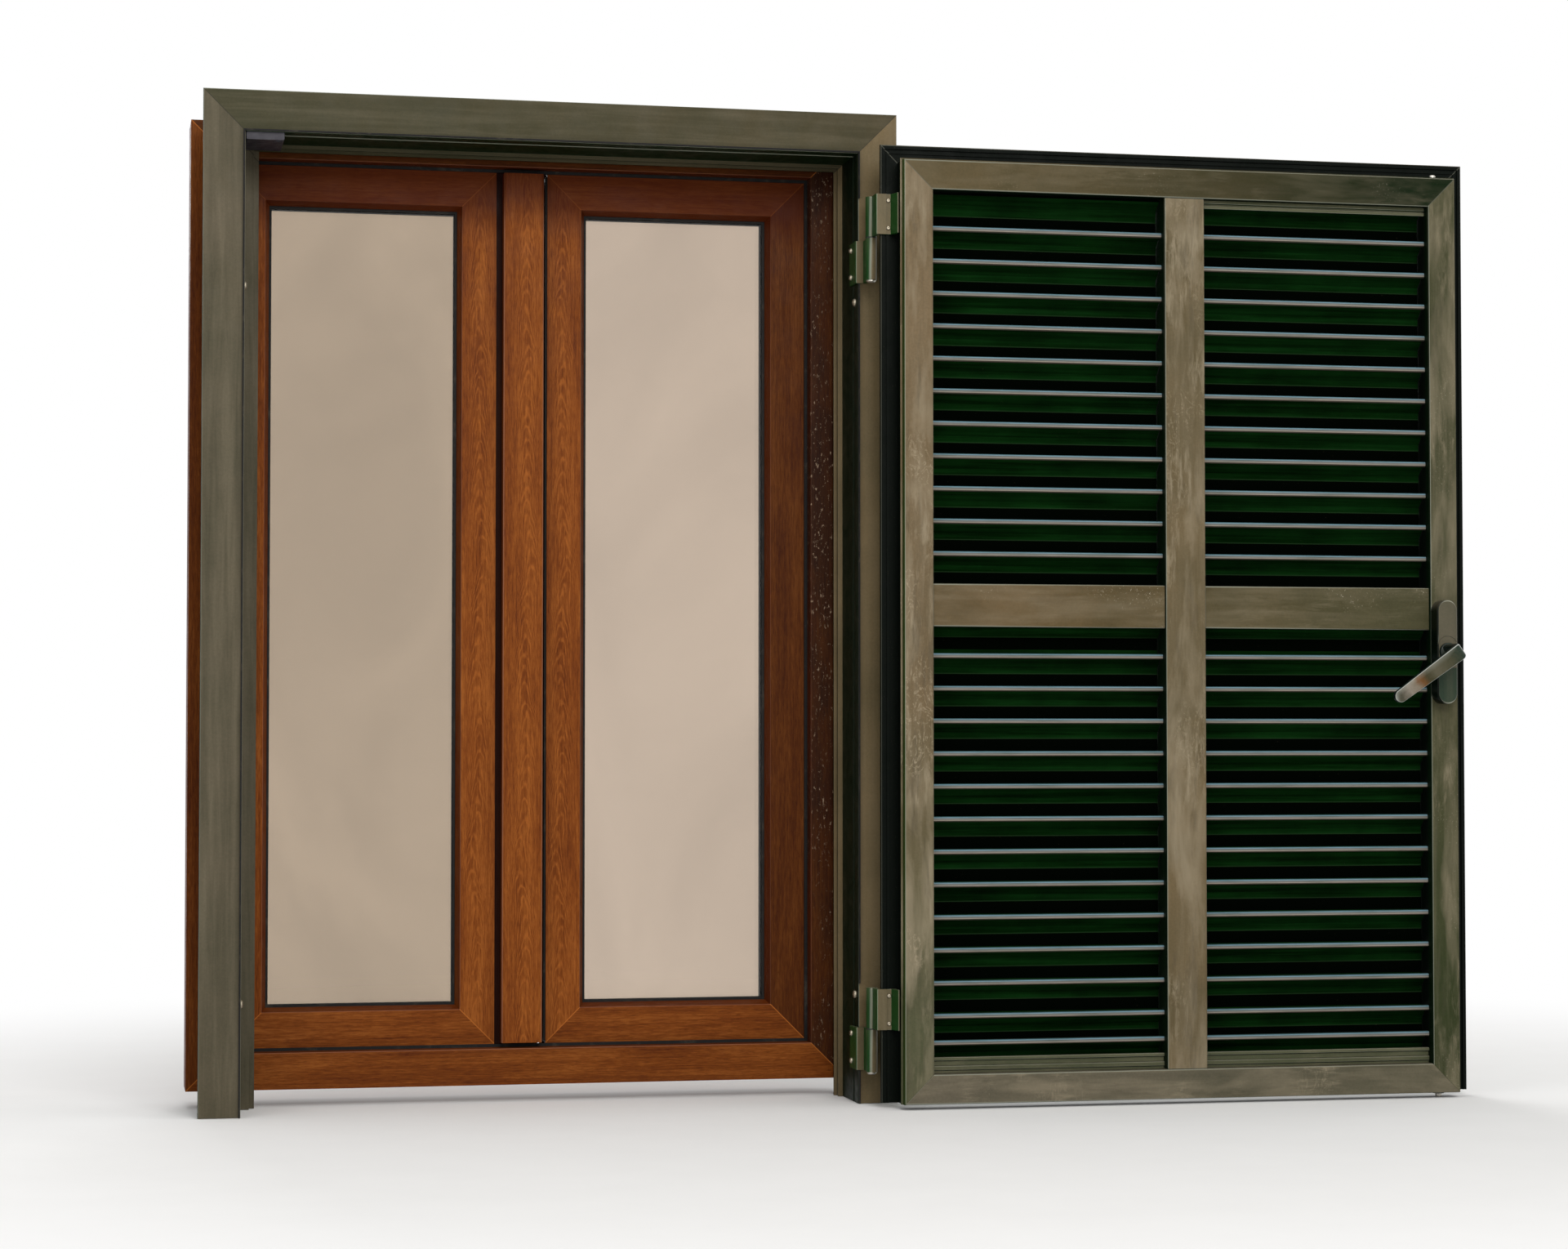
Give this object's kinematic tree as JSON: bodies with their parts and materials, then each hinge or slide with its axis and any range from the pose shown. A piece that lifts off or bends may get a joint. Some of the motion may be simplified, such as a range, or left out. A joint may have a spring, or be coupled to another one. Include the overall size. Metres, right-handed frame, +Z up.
{
  "type": "window with shutters",
  "caption": "Two-sash inward-opening window with an outward-opening louvred shutter leaf hung in its own three-sided frame, shutter folded back beside the window.",
  "frame": {"origin": "middle of the underside of the window frame's bottom rail", "axes": "+Z up; -Y towards the outside, where the shutter is; +X to the right seen from outside, along the folded-back leaf"},
  "size_m": [1.5543, 0.384, 1.1992],
  "materials": {
    "shutter_green": "dark green powder coat, satin, dusty",
    "hinge_green": "dark green powder coat, satin",
    "steel": "zinc plated, dulled",
    "handle_green": "dark green powder coat, semi-gloss",
    "keeper_black": "moulded, matt",
    "washer_plastic": "moulded, matt",
    "window_brown": "wood-grain foil, reddish brown, satin",
    "fitting_brown": "brown enamel, satin",
    "gasket_black": "matt",
    "spacer_metal": "mill finish",
    "glass": "clear, reflective"
  },
  "bodies": {
    "frame": {"bolt_keeper": "keeper_black", "hinge_frame_clamps": "hinge_green", "hinge_frame_half_lower": "hinge_green", "hinge_frame_half_upper": "hinge_green", "hinge_frame_screws": "steel", "hinge_pins": "steel", "hinge_washers": "washer_plastic", "sash_hinge_frame_parts": "fitting_brown", "shutter_frame_gaskets": "gasket_black", "shutter_frame_head": "shutter_green", "shutter_frame_jamb_left": "shutter_green", "shutter_frame_jamb_right": "shutter_green", "window_frame_bottom_rail": "window_brown", "window_frame_gasket": "gasket_black", "window_frame_head": "window_brown", "window_frame_jamb_left": "window_brown", "window_frame_jamb_right": "window_brown"},
    "shutter_leaf": {"bolt_guides": "washer_plastic", "hinge_leaf_clamps": "hinge_green", "hinge_leaf_half_lower": "hinge_green", "hinge_leaf_half_upper": "hinge_green", "hinge_leaf_screws": "steel", "shutter_handle_housing": "handle_green", "shutter_mid_rail_left": "shutter_green", "shutter_mid_rail_right": "shutter_green", "shutter_muntin": "shutter_green", "shutter_rail_bottom": "shutter_green", "shutter_rail_top": "shutter_green", "shutter_stile_hinge_side": "shutter_green", "shutter_stile_lock_side": "shutter_green", "slat_fillers": "shutter_green", "slat_starters": "shutter_green", "slats_lower_left": "shutter_green", "slats_lower_right": "shutter_green", "slats_upper_left": "shutter_green", "slats_upper_right": "shutter_green"},
    "shutter_handle_lever": {"shutter_handle_lever": "handle_green"},
    "upper_bolt": {"upper_bolt": "steel"},
    "lower_bolt": {"lower_bolt": "steel"},
    "sash_left": {"astragal": "window_brown", "sash_left_beads": "window_brown", "sash_left_gaskets": "gasket_black", "sash_left_glass": "glass", "sash_left_hinges": "fitting_brown", "sash_left_rail_bottom": "window_brown", "sash_left_rail_top": "window_brown", "sash_left_spacer": "spacer_metal", "sash_left_stile_hinge_side": "window_brown", "sash_left_stile_meeting": "window_brown"},
    "sash_right": {"sash_right_beads": "window_brown", "sash_right_gaskets": "gasket_black", "sash_right_glass": "glass", "sash_right_hinges": "fitting_brown", "sash_right_rail_bottom": "window_brown", "sash_right_rail_top": "window_brown", "sash_right_spacer": "spacer_metal", "sash_right_stile_hinge_side": "window_brown", "sash_right_stile_meeting": "window_brown", "window_handle_rose": "fitting_brown"},
    "window_handle_lever": {"window_handle_lever": "fitting_brown"}
  },
  "joints": [
    {"name": "shutter_swing", "type": "hinge", "parent": "frame", "child": "shutter_leaf", "pos_m": [0.4029, -0.1715, 0.5475], "axis": [0, 0, -1], "range_deg": [0, 180]},
    {"name": "shutter_handle", "type": "hinge", "parent": "shutter_leaf", "child": "shutter_handle_lever", "pos_m": [1.109, -0.248, 0.525], "axis": [0, -1, 0], "range_deg": [-35, 55]},
    {"name": "upper_bolt_slide", "type": "slide", "parent": "shutter_leaf", "child": "upper_bolt", "axis": [0, 0, 1], "range_m": [-0.0063, 0.0099]},
    {"name": "lower_bolt_slide", "type": "slide", "parent": "shutter_leaf", "child": "lower_bolt", "axis": [0, 0, -1], "range_m": [-0.0063, 0.0099]},
    {"name": "sash_left_swing", "type": "hinge", "parent": "frame", "child": "sash_left", "pos_m": [-0.394, 0.042, 0.58], "axis": [0, 0, 1], "range_deg": [0, 100]},
    {"name": "sash_right_swing", "type": "hinge", "parent": "frame", "child": "sash_right", "pos_m": [0.394, 0.042, 0.58], "axis": [0, 0, -1], "range_deg": [0, 100]},
    {"name": "window_handle", "type": "hinge", "parent": "sash_right", "child": "window_handle_lever", "pos_m": [0.0475, 0.06, 0.52], "axis": [0, -1, 0], "range_deg": [0, 90]}
  ],
  "couplings": [
    {"joint": "upper_bolt_slide", "follows": "shutter_handle", "m_per_rad": 0.01015},
    {"joint": "lower_bolt_slide", "follows": "shutter_handle", "m_per_rad": 0.01015}
  ]
}
